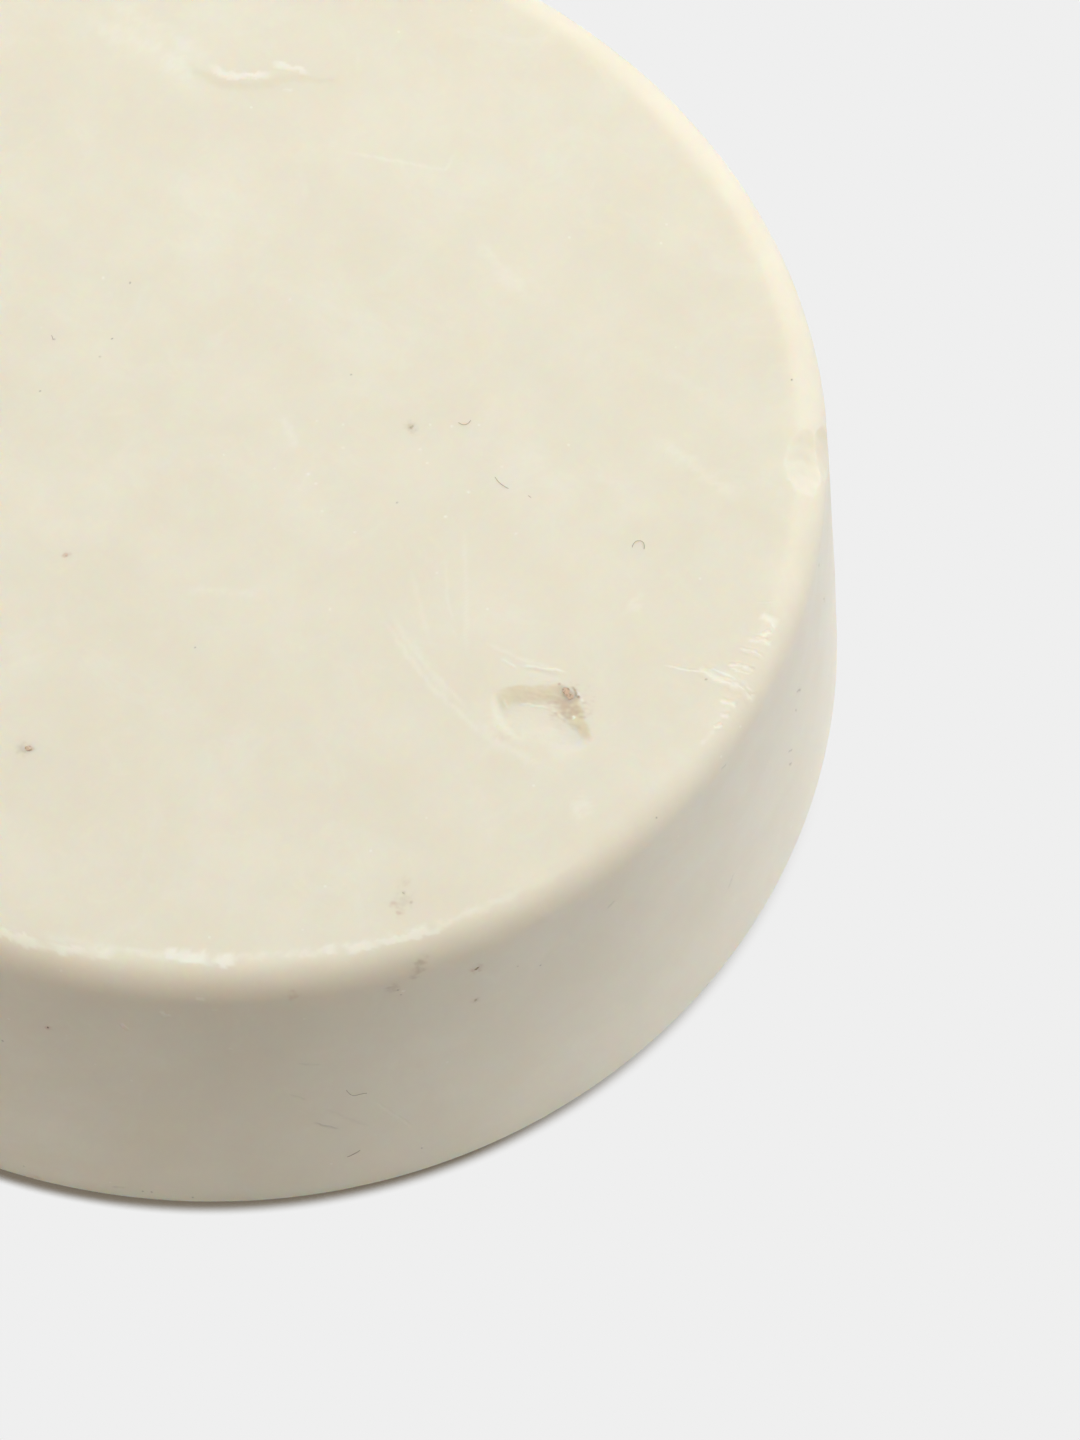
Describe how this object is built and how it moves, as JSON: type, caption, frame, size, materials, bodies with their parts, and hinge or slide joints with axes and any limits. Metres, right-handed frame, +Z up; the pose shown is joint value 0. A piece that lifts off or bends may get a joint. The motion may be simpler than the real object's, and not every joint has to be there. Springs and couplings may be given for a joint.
{
  "type": "shaving soap puck",
  "caption": "Round cake of shaving soap with a slightly tapered side and a rounded rim, for lathering in a bowl or dish.",
  "frame": {"origin": "centre of the face that the puck rests on", "axes": "+Z up, along the puck's axis from its resting face to its top face; -Y is the side with the nearer marks"},
  "size_m": [0.07, 0.07, 0.0236],
  "materials": {
    "soap": null,
    "red_speck": "Dull pinkish red grains set in the soap, partly veiled by it.",
    "brown_speck": "Dull brown grains set in the soap, partly veiled by it."
  },
  "bodies": {
    "root": {"soap_cake": "soap", "red_specks": "red_speck", "brown_specks": "brown_speck"}
  },
  "joints": []
}
